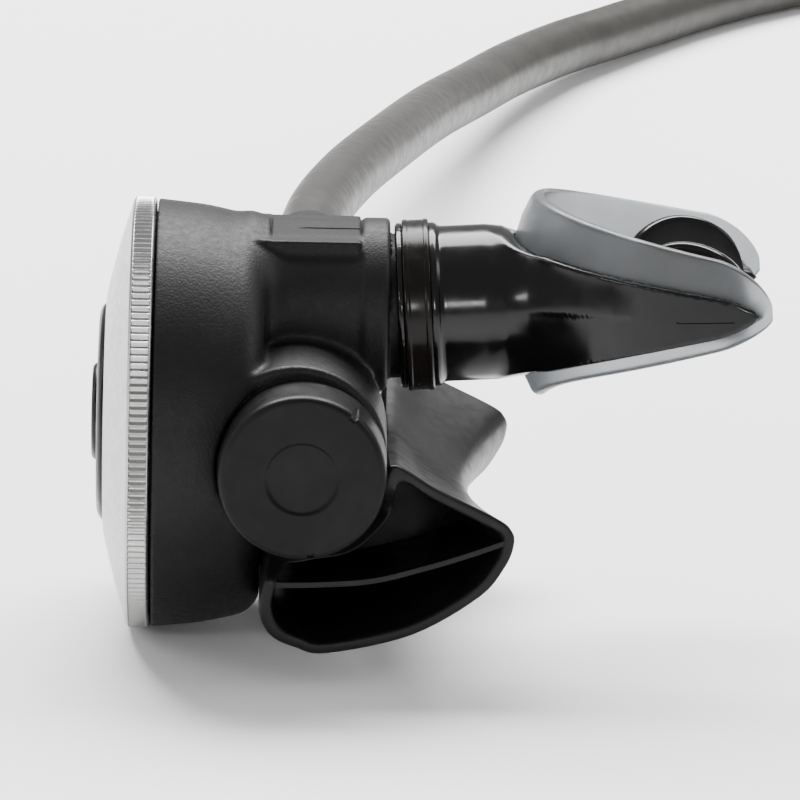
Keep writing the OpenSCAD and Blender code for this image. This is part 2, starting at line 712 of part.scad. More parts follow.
module end_fitting() {
    color("#bfc0c1") on_hose_end() difference() {
        union() {
            disc(4.8, 0, 5);
            hexagon(14.3, 4, 11);
            disc(6.2, 11 - eps, 12.2);
            disc(3.7, 12, 14.4);
            turned([
                [0, 14.3], [fitting_thread_r, 14.3], [fitting_thread_r, 22],
                [fitting_thread_r - 0.5, 22.5], [0, 22.5]]);
        }
        disc(2.4, -1, 24);
    }
}

module end_oring() {
    color("#101010") on_hose_end() oring(4.55, 0.84, 13.2);
}

case_body();
exhaust_tee();
exhaust_webs();
end_cap();
end_cap_oring();
valve_barrel();
barrel_nut();
barrel_oring();
orifice();
orifice_oring();
spring_adjuster();
lever_pin();
deflector_vane();
mouthpiece_body();
mouthpiece_shield();
bite_tabs();
mouthpiece_clamp();
diaphragm();
diaphragm_ring();
purge_guide();
front_cover();
bezel_ring();
purge_button();
purge_spring();
diaphragm_plate();
demand_lever();
poppet();
seat_disc();
poppet_spring();
exhaust_valve();
hose_nut();
hose_stem();
stem_oring();
hose_ferrule();
hose_protector();
hose();
end_ferrule();
end_fitting();
end_oring();
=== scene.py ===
from itertools import product
from math import cos, pi, radians, sin, tan

import bmesh
import bpy
import numpy as np
from mathutils import Matrix, Vector


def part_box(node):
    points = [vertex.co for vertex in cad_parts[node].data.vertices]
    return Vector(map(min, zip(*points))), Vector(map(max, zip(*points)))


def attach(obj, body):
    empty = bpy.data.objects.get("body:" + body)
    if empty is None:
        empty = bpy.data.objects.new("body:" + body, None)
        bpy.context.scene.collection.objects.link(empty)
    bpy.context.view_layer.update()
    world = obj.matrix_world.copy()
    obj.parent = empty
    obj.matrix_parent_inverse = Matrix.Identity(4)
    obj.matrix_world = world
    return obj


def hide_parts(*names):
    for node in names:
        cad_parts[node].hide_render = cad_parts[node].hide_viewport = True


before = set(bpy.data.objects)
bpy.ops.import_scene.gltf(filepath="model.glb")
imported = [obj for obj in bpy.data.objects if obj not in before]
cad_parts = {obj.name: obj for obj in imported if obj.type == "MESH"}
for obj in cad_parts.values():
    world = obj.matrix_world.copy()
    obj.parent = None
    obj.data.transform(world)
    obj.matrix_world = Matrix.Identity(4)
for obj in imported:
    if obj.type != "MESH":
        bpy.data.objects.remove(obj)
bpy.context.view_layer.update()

MM = 0.001

# ------------------------------------------------------------ places, in millimetres
nut_low, nut_high = [np.array(corner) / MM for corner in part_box("barrel_nut")]
bezel_low, bezel_high = [np.array(corner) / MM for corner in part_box("bezel_ring")]
BARREL_X = float(nut_low[0] + nut_high[0]) / 2
BARREL_Z = float(nut_low[2] + nut_high[2]) / 2
CASE_Z = float(bezel_low[2] + bezel_high[2]) / 2
BEZEL_R = float(bezel_high[2] - bezel_low[2]) / 2
NECK_Z = CASE_Z + 20.1
MOUTH_X = BARREL_X + 19.4
MOUTH_PITCH = radians(3.7)
MOUTH_TWIST = radians(5.5)
EXHAUST_Z = 16.6
EXHAUST_R = 8.0
TEE_HALF_W = 36.4
CAP_R = 14.3
CAP_FACE_Y = -42.0
CASE_FRONT, CASE_INNER, CASE_BACK = -25.5, -9.6, -7.0
NECK_RIM, NECK_END = 10.8, 14.35
HOSE_R = 6.0
FERRULE_R = 8.0


def axes(origin, x_axis, z_axis):
    """Frame whose z runs along a part's axis, as a 4x4 matrix in millimetres."""
    x, z = np.array(x_axis, float), np.array(z_axis, float)
    m = np.eye(4)
    m[:3, 0], m[:3, 1], m[:3, 2], m[:3, 3] = x, np.cross(z, x), z, origin
    return m


def turn(angle, axis):
    return np.array(Matrix.Rotation(angle, 4, axis))


CASE_AXIS = axes((BARREL_X, 0, CASE_Z), (0, 0, -1), (1, 0, 0))
NECK_AXIS = axes((BARREL_X, 0, NECK_Z), (0, 0, -1), (1, 0, 0))
BARREL_AXIS = axes((BARREL_X, 0, BARREL_Z), (1, 0, 0), (0, 1, 0))
BOSS_AXIS = axes((BARREL_X - 1.1, 0, BARREL_Z + 1.2), (1, 0, 0), (0, 1, 0))
EXHAUST_AXIS = axes((BARREL_X, 0, EXHAUST_Z), (0, 0, -1), (1, 0, 0))
MOUTH_FRAME = axes((MOUTH_X, 0, NECK_Z), (1, 0, 0), (0, 0, 1)) @ turn(-MOUTH_PITCH, "Y")
BITE_FRAME = MOUTH_FRAME @ turn(-MOUTH_TWIST, "X")
BITE_AXIS = BITE_FRAME @ turn(pi / 2, "Y")

# ------------------------------------------------------------ camera
CAMERA_TARGET = Vector((BARREL_X + 16.65, 0, 40.1)) * MM
CAMERA_AZIMUTH, CAMERA_ELEVATION, CAMERA_ROLL = radians(-0.7), radians(15.5), radians(1.3)
CAMERA_DISTANCE = 1.5


def make_camera():
    back = Vector((
        sin(CAMERA_AZIMUTH) * cos(CAMERA_ELEVATION),
        -cos(CAMERA_AZIMUTH) * cos(CAMERA_ELEVATION),
        sin(CAMERA_ELEVATION)))
    right = Vector((cos(CAMERA_AZIMUTH), sin(CAMERA_AZIMUTH), 0))
    up = back.cross(right)
    rolled_right = right * cos(CAMERA_ROLL) + up * sin(CAMERA_ROLL)
    rolled_up = up * cos(CAMERA_ROLL) - right * sin(CAMERA_ROLL)
    data = bpy.data.cameras.new("camera")
    data.lens = 391.5
    data.clip_start, data.clip_end = 0.05, 20
    camera = bpy.data.objects.new("camera", data)
    bpy.context.scene.collection.objects.link(camera)
    place = CAMERA_TARGET + back * CAMERA_DISTANCE
    camera.matrix_world = Matrix.Translation(place) @ Matrix((
        rolled_right, rolled_up, back)).transposed().to_4x4()
    bpy.context.scene.camera = camera


make_camera()


# ------------------------------------------------------------ material tools
class Material:
    """A Principled material with object coordinates in metres to hang textures on."""

    def __init__(self, name, color, roughness, **sockets):
        self.material = bpy.data.materials.new(name)
        self.material.use_nodes = True
        self.nodes = self.material.node_tree.nodes
        self.links = self.material.node_tree.links
        self.shader = self.nodes["Principled BSDF"]
        self.color = (*color, 1)
        self.shader.inputs["Base Color"].default_value = self.color
        self.shader.inputs["Roughness"].default_value = roughness
        for socket, value in sockets.items():
            self.shader.inputs[socket.replace("_", " ")].default_value = value
        self.place = self.nodes.new("ShaderNodeTexCoord").outputs["Object"]
        self.normal = None

    def noise(self, size, detail=3, stretch=(1, 1, 1)):
        """Noise with features about size millimetres across, stretched along an axis."""
        scaled = self.nodes.new("ShaderNodeMapping")
        scaled.inputs["Scale"].default_value = [1 / (size * MM * s) for s in stretch]
        self.links.new(self.place, scaled.inputs["Vector"])
        node = self.nodes.new("ShaderNodeTexNoise")
        node.inputs["Scale"].default_value = 1
        node.inputs["Detail"].default_value = detail
        self.links.new(scaled.outputs["Vector"], node.inputs["Vector"])
        return node.outputs["Fac"]

    def pebbles(self, size):
        """Rounded cells about size millimetres across, high in the middle."""
        node = self.nodes.new("ShaderNodeTexVoronoi")
        node.feature = "SMOOTH_F1"
        node.inputs["Scale"].default_value = 1 / (size * MM)
        self.links.new(self.place, node.inputs["Vector"])
        return self.ramp(node.outputs["Distance"], 0, 0.8, 1, 0)

    def ramp(self, value, low, high, out_low, out_high):
        node = self.nodes.new("ShaderNodeMapRange")
        for socket, number in zip(list(node.inputs)[1:5], (low, high, out_low, out_high)):
            socket.default_value = number
        self.links.new(value, node.inputs["Value"])
        return node.outputs["Result"]

    def bump(self, height, depth, strength=1.0):
        """Relief of a height field, depth in millimetres; calls add up."""
        node = self.nodes.new("ShaderNodeBump")
        node.inputs["Distance"].default_value = depth * MM
        node.inputs["Strength"].default_value = strength
        self.links.new(height, node.inputs["Height"])
        if self.normal:
            self.links.new(self.normal, node.inputs["Normal"])
        self.normal = node.outputs["Normal"]
        self.links.new(self.normal, self.shader.inputs["Normal"])
        return self

    def vary_roughness(self, value, low, high):
        self.links.new(self.ramp(value, 0.3, 0.7, low, high), self.shader.inputs["Roughness"])
        return self

    def vary_color(self, value, other, low=0.35, high=0.7):
        """Base colour that turns into another one where a value is high."""
        node = self.nodes.new("ShaderNodeMix")
        node.data_type = "RGBA"
        node.inputs["A"].default_value = self.color
        node.inputs["B"].default_value = (*other, 1)
        self.links.new(self.ramp(value, low, high, 0, 1), node.inputs["Factor"])
        self.links.new(node.outputs["Result"], self.shader.inputs["Base Color"])
        return self


def moulded(name, color, roughness, grain=0.5, depth=0.03, **sockets):
    """Plain moulded plastic or rubber: fine grain, faint mottling, handling marks."""
    m = Material(name, color, roughness, **sockets)
    m.vary_color(m.noise(9, 4), [c * 1.35 + 0.002 for c in color], 0.45, 0.8)
    m.vary_roughness(m.noise(2.5, 5), roughness - 0.05, roughness + 0.07)
    m.bump(m.noise(grain, 2), depth, 0.5)
    return m.material


def pebbled_nylon():
    m = Material("pebbled_nylon", (0.005, 0.005, 0.0053), 0.5, Specular_IOR_Level=0.17)
    m.vary_color(m.noise(7, 4), (0.008, 0.008, 0.0084), 0.45, 0.8)
    m.vary_roughness(m.noise(1.2, 4), 0.44, 0.56)
    m.bump(m.noise(1.6, 2), 0.03, 0.5)
    m.bump(m.pebbles(0.42), 0.045, 0.8)
    return m.material


def metal(name, color, roughness, brushed=(1, 1, 1), grain=0.3, **sockets):
    m = Material(name, color, roughness, Metallic=1.0, **sockets)
    m.vary_color(m.noise(5, 4), [c * 0.88 for c in color], 0.4, 0.75)
    m.vary_roughness(m.noise(1.5, 4), roughness - 0.04, roughness + 0.07)
    m.bump(m.noise(grain, 2, brushed), 0.008, 0.4)
    return m.material


def glossy_silicone():
    m = Material("glossy_silicone", (0.0022, 0.0022, 0.0024), 0.16, Specular_IOR_Level=0.3)
    m.vary_roughness(m.noise(4, 4), 0.13, 0.22)
    m.bump(m.noise(6, 2), 0.12, 0.25)
    return m.material


def clear_silicone():
    m = Material(
        "clear_silicone", (0.3, 0.315, 0.33), 0.34, IOR=1.41, Transmission_Weight=0.85,
        Subsurface_Weight=0.15, Subsurface_Scale=0.003, Specular_IOR_Level=0.35)
    m.vary_color(m.noise(8, 3), (0.24, 0.255, 0.27), 0.4, 0.75)
    m.vary_roughness(m.noise(3, 4), 0.3, 0.4)
    m.bump(m.noise(3, 2), 0.05, 0.3)
    return m.material


def hose_cover():
    m = Material("hose_cover", (0.026, 0.0245, 0.022), 0.42, Specular_IOR_Level=0.3)
    m.vary_color(m.noise(14, 4), (0.038, 0.0355, 0.031), 0.4, 0.75)
    m.vary_roughness(m.noise(3, 4), 0.36, 0.5)
    m.bump(m.noise(0.6, 3), 0.018, 0.5)
    return m.material


NYLON = pebbled_nylon()
SMOOTH_NYLON = moulded("smooth_nylon", (0.006, 0.006, 0.006), 0.42, 0.8, 0.02, Specular_IOR_Level=0.18)
TEE_PLASTIC = moulded("tee_plastic", (0.0045, 0.0045, 0.005), 0.36, 0.7, 0.03, Specular_IOR_Level=0.17)
CAP_PLASTIC = moulded("cap_plastic", (0.004, 0.004, 0.0044), 0.42, 0.35, 0.02, Specular_IOR_Level=0.12)
COVER_PLASTIC = moulded("cover_plastic", (0.005, 0.005, 0.005), 0.3, 0.5, 0.015, Specular_IOR_Level=0.2)
BAND_PLASTIC = moulded("band_plastic", (0.005, 0.004, 0.0035), 0.22, 1.5, 0.02, Specular_IOR_Level=0.15)
WHITE_PLASTIC = moulded("white_plastic", (0.74, 0.73, 0.68), 0.4)
SEAL_RUBBER = moulded("seal_rubber", (0.006, 0.006, 0.006), 0.45, 0.3, 0.02, Specular_IOR_Level=0.25)
DIAPHRAGM_RUBBER = moulded("diaphragm_rubber", (0.04, 0.04, 0.041), 0.5, 0.6, 0.03)
SLEEVE_RUBBER = moulded("sleeve_rubber", (0.007, 0.007, 0.007), 0.46, 0.7, 0.04, Specular_IOR_Level=0.2)
GLOSSY_SILICONE = glossy_silicone()
CLEAR_SILICONE = clear_silicone()
HOSE_RUBBER = hose_cover()
BEZEL_METAL = metal("bezel_metal", (0.4, 0.4, 0.395), 0.3)
CHROME = metal("chrome", (0.74, 0.74, 0.735), 0.14)
FERRULE_METAL = metal("ferrule_metal", (0.66, 0.66, 0.655), 0.24)
SPRING_STEEL = metal("spring_steel", (0.56, 0.56, 0.57), 0.28)
PLATED_BRASS = metal("plated_brass", (0.76, 0.62, 0.34), 0.22)


# ------------------------------------------------------------ mesh tools
def placed(points, matrix):
    points = np.asarray(points, float)
    return points @ matrix[:3, :3].T + matrix[:3, 3]


def clean_mesh(name, points, faces):
    """Mesh from points in millimetres, doubles merged and normals outwards."""
    mesh = bpy.data.meshes.new(name)
    mesh.from_pydata((np.asarray(points) * MM).tolist(), [], [list(f) for f in faces])
    shape = bmesh.new()
    shape.from_mesh(mesh)
    bmesh.ops.remove_doubles(shape, verts=shape.verts, dist=0.002 * MM)
    bmesh.ops.recalc_face_normals(shape, faces=shape.faces)
    shape.to_mesh(mesh)
    shape.free()
    return mesh


def piece(name, points, faces, material, body="case", replaces=(), sharp=38):
    """A shown piece from points in millimetres, riding on its body."""
    mesh = clean_mesh(name, points, faces)
    mesh.materials.append(material)
    mesh.shade_smooth()
    mesh.set_sharp_from_angle(angle=radians(sharp))
    obj = bpy.data.objects.new(name, mesh)
    bpy.context.scene.collection.objects.link(obj)
    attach(obj, body)
    if replaces:
        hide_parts(*replaces)
    return obj


def rounded(outline, radius, closed=False, steps=5):
    """Outline whose corners are eased; a point's third number is its own radius."""
    points = [np.array(p[:2], float) for p in outline]
    radii = [p[2] if len(p) > 2 else radius for p in outline]
    made = []
    for i, corner in enumerate(points):
        if radii[i] == 0 or not closed and i in (0, len(points) - 1):
            made.append(corner)
            continue
        before, after = points[i - 1] - corner, points[(i + 1) % len(points)] - corner
        reach = min(radii[i], 0.48 * np.linalg.norm(before), 0.48 * np.linalg.norm(after))
        a = corner + before / max(np.linalg.norm(before), 1e-9) * reach
        b = corner + after / max(np.linalg.norm(after), 1e-9) * reach
        made += [(1 - t) ** 2 * a + 2 * t * (1 - t) * corner + t * t * b
                 for t in np.linspace(0, 1, steps)]
    return np.array(made)


def skin(rings, round_rings=True, closed_path=False, caps=True):
    """Faces over a list of equal rings of points."""
    m, n = len(rings), len(rings[0])
    points = np.asarray(rings, float).reshape(-1, 3)
    faces = [
        (i * n + j, (i + 1) % m * n + j, (i + 1) % m * n + (j + 1) % n, i * n + (j + 1) % n)
        for i in range(m if closed_path else m - 1)
        for j in range(n if round_rings else n - 1)]
    if caps and not closed_path:
        faces += [tuple(range(n)), tuple(range((m - 1) * n, m * n))]
    return points, faces


def lathe(outline, axis, closed=True, steps=144, wave=None):
    """Turned shape from (radius, height) points, with an optional change of radius."""
    angles = np.linspace(0, 2 * pi, steps, endpoint=False)
    rings = []
    for radius, height in outline:
        r = radius + (wave(radius, height, angles) if wave else 0 * angles)
        rings.append(np.stack([r * np.cos(angles), r * np.sin(angles), height + 0 * r], -1))
    points, faces = skin(rings, closed_path=closed, caps=False)
    return placed(points, axis), faces


def curve_points(p, steps, closed=False):
    """Catmull-Rom curve through points, steps to each span."""
    p = np.asarray(p, float)
    n = len(p)
    made = []
    for i in range(n if closed else n - 1):
        near = [p[(i + k) % n] if closed else p[min(max(i + k, 0), n - 1)] for k in (-1, 0, 1, 2)]
        a, b, c, d = near
        for t in np.arange(steps) / steps:
            made.append(0.5 * (2 * b + (c - a) * t + (2 * a - 5 * b + 4 * c - d) * t ** 2
                               + (3 * b - a - 3 * c + d) * t ** 3))
    if not closed:
        made.append(p[-1])
    return np.array(made)


def sweep(path, radii, sides=40):
    """Rings of a round tube along a path."""
    path = np.asarray(path, float)
    along = np.gradient(path, axis=0)
    along /= np.linalg.norm(along, axis=1)[:, None]
    side = np.cross(along, (0, 0, 1))
    side /= np.linalg.norm(side, axis=1)[:, None]
    up = np.cross(side, along)
    radii = np.broadcast_to(np.asarray(radii, float), len(path))
    angles = np.linspace(0, 2 * pi, sides, endpoint=False)
    return [p + r * (np.cos(angles)[:, None] * s + np.sin(angles)[:, None] * u)
            for p, r, s, u in zip(path, radii, side, up)]


def carve(obj, cutter_points, cutter_faces, sharp=38):
    """Cuts a closed shape out of a piece for good."""
    cutter = bpy.data.objects.new("cutter", clean_mesh("cutter", cutter_points, cutter_faces))
    bpy.context.scene.collection.objects.link(cutter)
    cut = obj.modifiers.new("cut", "BOOLEAN")
    cut.operation, cut.solver, cut.object = "DIFFERENCE", "EXACT", cutter
    bpy.context.view_layer.update()
    made = bpy.data.meshes.new_from_object(obj.evaluated_get(bpy.context.evaluated_depsgraph_get()))
    obj.modifiers.clear()
    old, obj.data = obj.data, made
    made.name = old.name
    bpy.data.objects.remove(cutter)
    made.shade_smooth()
    made.set_sharp_from_angle(angle=radians(sharp))


# ------------------------------------------------------------ distance fields
def local(points, matrix):
    return (points - matrix[:3, 3]) @ matrix[:3, :3]


def polygon_distance(px, py, outline):
    """Signed distance to a closed outline, negative inside."""
    outline = np.asarray(outline, float)
    best, sign = np.full(px.shape, 1e9), np.ones(px.shape)
    for a, b in zip(outline, np.roll(outline, -1, 0)):
        edge = b - a
        if edge @ edge < 1e-12:
            continue
        wx, wy = px - a[0], py - a[1]
        t = np.clip((wx * edge[0] + wy * edge[1]) / (edge @ edge), 0, 1)
        best = np.minimum(best, (wx - edge[0] * t) ** 2 + (wy - edge[1] * t) ** 2)
        above, below, left = py >= a[1], py < b[1], edge[0] * wy > edge[1] * wx
        sign = np.where((above & below & left) | ~(above | below | left), -sign, sign)
    return sign * np.sqrt(best)


def turned_field(points, axis, outline):
    p = local(points, axis)
    return polygon_distance(np.hypot(p[..., 0], p[..., 1]), p[..., 2], outline)


def rod(points, axis, radius, low, high, edge=0.0):
    """Distance to a cylinder about a frame's z axis, with eased edges."""
    p = local(points, axis)
    out = np.hypot(p[..., 0], p[..., 1]) - radius + edge
    over = np.abs(p[..., 2] - (low + high) / 2) - (high - low) / 2 + edge
    outside = np.hypot(np.maximum(out, 0), np.maximum(over, 0))
    return np.minimum(np.maximum(out, over), 0) + outside - edge


def block(points, axis, low, high, edge=0.0):
    """Distance to a box in a frame, with eased edges."""
    low, high = np.array(low, float), np.array(high, float)
    q = np.abs(local(points, axis) - (low + high) / 2) - (high - low) / 2 + edge
    return np.minimum(q.max(-1), 0) + np.linalg.norm(np.maximum(q, 0), axis=-1) - edge


def join(a, b, fillet):
    """Union with a fillet."""
    h = np.clip(0.5 + 0.5 * (b - a) / fillet, 0, 1)
    return b + (a - b) * h - fillet * h * (1 - h)


def cut_away(a, b, ease):
    """a without b, its new edge eased."""
    return -join(-a, b, ease)


def settle(field, points, rounds):
    """Moves points onto the surface of a field."""
    reach = 0.02
    for _ in range(rounds):
        slope = np.stack([
            (field(points + reach * e) - field(points - reach * e)) / (2 * reach)
            for e in np.eye(3)], -1)
        size = np.maximum((slope ** 2).sum(-1), 0.05)
        step = np.clip(field(points) / size, -0.6, 0.6)
        points = points - step[:, None] * slope
    return points


def surface_net(field, low, high, step):
    """Even quads over the surface of a field."""
    grid = np.stack(np.meshgrid(
        *[np.arange(a, b + step, step) for a, b in zip(low, high)], indexing="ij"), -1)
    inside = field(grid) < 0
    size = [s - 1 for s in inside.shape]
    count = sum(inside[a:size[0] + a, b:size[1] + b, c:size[2] + c].astype(int)
                for a, b, c in product((0, 1), repeat=3))
    active = (count > 0) & (count < 8)
    index = np.full(size, -1)
    index[active] = np.arange(active.sum())
    points = grid[:-1, :-1, :-1][active] + step / 2
    faces = []
    for k in range(3):
        order = (k, (k + 1) % 3, (k + 2) % 3)
        solid, cell = inside.transpose(order), index.transpose(order)
        here, there = solid[:-1, 1:-1, 1:-1], solid[1:, 1:-1, 1:-1]
        quads = np.stack([cell[:, :-1, :-1], cell[:, 1:, :-1], cell[:, 1:, 1:], cell[:, :-1, 1:]], -1)
        faces += [quads[here & ~there], quads[~here & there][:, ::-1]]
    faces = np.concatenate(faces)
    points = settle(field, points, 3)
    for _ in range(2):
        total, near = np.zeros_like(points), np.zeros(len(points))
        for a, b in ((0, 1), (1, 2), (2, 3), (3, 0)):
            np.add.at(total, faces[:, a], points[faces[:, b]])
            np.add.at(near, faces[:, a], 1)
        points = settle(field, 0.5 * points + 0.5 * total / near[:, None], 2)
    return points, faces


# ------------------------------------------------------------ hose
HOSE_ROUTE = [
    [BARREL_X, 52, BARREL_Z], [BARREL_X, 82, 37.4], [-19.9, 115, 36.8], [-18.1, 150, 35],
    [-12.1, 196, 31], [-3.7, 247, 25.3], [4.9, 298, 19], [13.8, 339, 14], [23.1, 375, 10.4],
    [34.3, 406, 7.8], [43.9, 424, 6.8], [55.3, 443, 6.2], [67.3, 461, 6], [81.3, 478, 6],
    [97.3, 493, 6], [115.3, 504, 6], [137.3, 508, 6], [158.3, 504, 6], [177, 491, 6],
    [188.8, 471, 6], [193.5, 449, 6], [194.3, 426, 6], [194.3, 403, 6.2], [194.3, 380, 7.2],
    [194.3, 356, 8.2], [194.3, 340, 8.4]]
HOSE_PATH = curve_points(HOSE_ROUTE, 10)
HOSE_END = HOSE_ROUTE[-1]
END_AXIS = axes(HOSE_END, (1, 0, 0), (0, -1, 0))


def make_hose():
    points, faces = skin(sweep(HOSE_PATH, HOSE_R))
    return piece("hose_tube", points, faces, HOSE_RUBBER, replaces=("hose",))


def make_sleeve():
    """Tapered rubber sleeve over the ferrule and the first stretch of the hose."""
    route = [
        [BARREL_X, 48.4, BARREL_Z], [BARREL_X, 60, BARREL_Z], [BARREL_X, 71, BARREL_Z],
        HOSE_ROUTE[1], [-20.2, 98, 37.2], [-20, 110, 36.9], [-19.8, 118, 36.6]]
    path = curve_points(route, 16)
    y = path[:, 1]
    radii = np.interp(y, [48.4, 60, 71, 82, 98, 110, 118], [9.4, 9.6, 9.4, 8.6, 8, 7.8, 7.6])
    radii = radii - 1.3 * np.clip((y - 113) / 5, 0, 1) ** 3
    radii = radii - 0.7 * np.clip((49.6 - y) / 1.2, 0, 1) ** 3
    for groove in (57, 60.5, 64):
        radii = radii - 0.45 * np.exp(-((y - groove) / 0.55) ** 2)
    ferrule_bore, hose_bore = FERRULE_R + 0.15, HOSE_R + 0.15
    bore = np.where(y < 70, ferrule_bore, hose_bore)
    rings = sweep(path, radii, 64) + sweep(path, bore, 64)[::-1]
    points, faces = skin(rings, closed_path=True)
    return piece("hose_sleeve", points, faces, SLEEVE_RUBBER, replaces=("hose_protector",))


def hexagon_face(across_flats, low, high, bore, axis, chamfer=0.9):
    """Hexagonal nut with turned chamfers at both ends."""
    angles = np.sort(np.concatenate([
        np.linspace(0, 2 * pi, 144, endpoint=False), np.arange(6) * pi / 3 + 1e-4]))
    flat = across_flats / 2 / np.cos((angles + 1e-9) % (pi / 3) - pi / 6)
    eased = np.minimum(flat, across_flats / 2 / cos(pi / 6) - 0.12)
    ease = np.linspace(0, chamfer, 6)
    heights = np.concatenate([low + ease, high - ease[::-1]])
    start = across_flats / 2 - 0.25
    rings = [np.stack([bore * np.cos(angles), bore * np.sin(angles), low + 0 * angles], -1)]
    for h in heights:
        limit = start + min(h - low, high - h) * tan(radians(62))
        r = np.minimum(eased, limit)
        rings.append(np.stack([r * np.cos(angles), r * np.sin(angles), h + 0 * r], -1))
    rings.append(np.stack([bore * np.cos(angles), bore * np.sin(angles), high + 0 * angles], -1))
    points, faces = skin(rings, closed_path=True)
    return placed(points, axis), faces


def make_hose_ends():
    """Swivel nut at the barrel, crimped ferrule and threaded fitting at the far end."""
    points, faces = hexagon_face(17.5, 35.6, 45.5, 7.19, BARREL_AXIS)
    nut = piece("swivel_hexagon", points, faces, CHROME, "swivel_nut", ("hose_nut",))
    neck = rounded([
        (4.87, 43.45), (7.19, 43.45), (7.8, 45.3), (7.8, 47.5), (7.3, 48), (4.87, 48)], 0.3, True)
    points, faces = lathe(neck, BARREL_AXIS)
    collar = piece("swivel_collar", points, faces, CHROME, "swivel_nut")

    crimp = [(6.05, -20), (7.4, -20), (7.4, -17.5), (FERRULE_R, -16)]
    for start in (-13.5, -9, -4.5):
        crimp += [(FERRULE_R, start), (7.45, start + 0.6), (7.45, start + 2.0), (FERRULE_R, start + 2.6)]
    crimp += [(FERRULE_R, 2.4), (FERRULE_R - 0.6, 3), (4.8, 3), (4.8, 0), (6.05, 0)]
    points, faces = lathe(rounded(crimp, 0.35, True), END_AXIS)
    ferrule = piece("crimped_ferrule", points, faces, FERRULE_METAL,
                    replaces=("end_ferrule",))

    points, faces = hexagon_face(14.3, 4, 11, 2.4, END_AXIS, 0.8)
    hexagon = piece("fitting_hexagon", points, faces, CHROME, replaces=("end_fitting",))
    stub = rounded([(2.4, 0.2), (4.8, 0.2), (4.8, 4.1), (2.4, 4.1)], 0.15, True)
    points, faces = lathe(stub, END_AXIS)
    stub = piece("fitting_stub", points, faces, CHROME)

    pitch, crest, root = 25.4 / 24, 4.76, 4.2
    heights = np.arange(14.5, 22.0, pitch / 8)
    outline = [(2.4, 10.9), (6.2, 10.9), (6.2, 12.2), (3.7, 12.2), (3.7, 14.3), (root, 14.35)]
    outline += [(crest, h) for h in heights] + [(root, 22.2), (root - 0.3, 22.5), (2.4, 22.5)]

    def thread(radius, height, angles):
        if radius != crest:
            return 0 * angles
        turn_part = ((height - 14.5) / pitch - angles / (2 * pi)) % 1
        return (root - crest) * np.clip(1.25 - np.abs(turn_part - 0.5) * 3.2, 0, 1)

    points, faces = lathe(outline, END_AXIS, steps=96, wave=thread)
    threads = piece("fitting_thread", points, faces, CHROME, sharp=25)
    return [nut, collar, ferrule, hexagon, stub, threads]


def make_cord():
    tube = make_hose()
    sleeve = make_sleeve()
    ends = make_hose_ends()


make_cord()

# ------------------------------------------------------------ case
CUP_OUTSIDE = rounded([
    (0, -29.0, 0), (34.4, -29.0, 0.3), (34.4, CASE_FRONT, 0.1), (36.9, CASE_FRONT, 0.5),
    (36.0, CASE_FRONT + 9, 3), (34.3, -9.5, 2), (31.7, CASE_BACK, 3.2), (0, CASE_BACK, 0)], 0.5)
CUP_INSIDE = [
    (0, -30.0), (31.9, -30.0), (31.9, -26.6), (29.6, -26.6), (29.6, -25.0), (34.2, -24.0),
    (33.6, CASE_FRONT + 5), (29.5, CASE_FRONT + 9), (29.5, CASE_INNER), (0, CASE_INNER)]


def case_field(p):
    """Cup, barrel housing, boss and neck in one moulding with filleted joints."""
    solid = turned_field(p, CASE_AXIS, CUP_OUTSIDE)
    solid = join(solid, rod(p, BARREL_AXIS, 13.0, -27, 31, 0.5), 3.0)
    solid = join(solid, rod(p, NECK_AXIS, 14.4, -9, NECK_RIM + 1, 0.2), 5.0)
    solid = join(solid, rod(p, BOSS_AXIS, 15.4, -31, -12, 0.9), 1.6)
    pad = block(p, NECK_AXIS, (-13.3, -9.5, -9), (-8, 9.5, 9.35), 0.5)
    solid = join(solid, pad, 0.8)
    solid = cut_away(solid, block(p, NECK_AXIS, (-18, -9.9, -6), (-13.3, 9.9, 9.35), 0.3), 0.5)
    rim = rod(p, NECK_AXIS, 14.8, 9.5, NECK_END, 0.9)
    solid = join(solid, rim, 0.4)
    solid = join(solid, rod(p, BITE_AXIS, 12.4, -8, 5, 0.4), 0.3)
    solid = cut_away(solid, rod(p, BARREL_AXIS, CAP_R + 0.35, -60, -31), 0.4)
    solid = cut_away(solid, rod(p, BARREL_AXIS, 11.3, 31, 60), 0.9)
    hollow = turned_field(p, CASE_AXIS, CUP_INSIDE)
    for axis, radius, low, high in (
            (NECK_AXIS, 11.9, CASE_INNER - 1, NECK_END - 2), (BITE_AXIS, 10.8, -9, 6),
            (BARREL_AXIS, 10.8, -20.5, 20.5), (BARREL_AXIS, 7.5, -24.5, 32),
            (BARREL_AXIS, 10.45, -32, -23.5), (BARREL_AXIS, 9.1, 29.4, 32),
            (EXHAUST_AXIS, 7.0, CASE_INNER - 1, CASE_BACK + 1)):
        hollow = np.minimum(hollow, rod(p, axis, radius, low, high))
    solid = np.maximum(solid, -hollow)
    hub = rod(p, EXHAUST_AXIS, 2.4, CASE_INNER, CASE_BACK, 0.2)
    for third in range(3):
        bar = EXHAUST_AXIS @ turn(third * 2 * pi / 3, "Z")
        hub = np.minimum(hub, block(p, bar, (0, -0.7, CASE_INNER), (7.4, 0.7, CASE_BACK), 0.2))
    hub = np.maximum(hub, -rod(p, EXHAUST_AXIS, 1.3, -12, -5))
    return np.minimum(solid, hub)


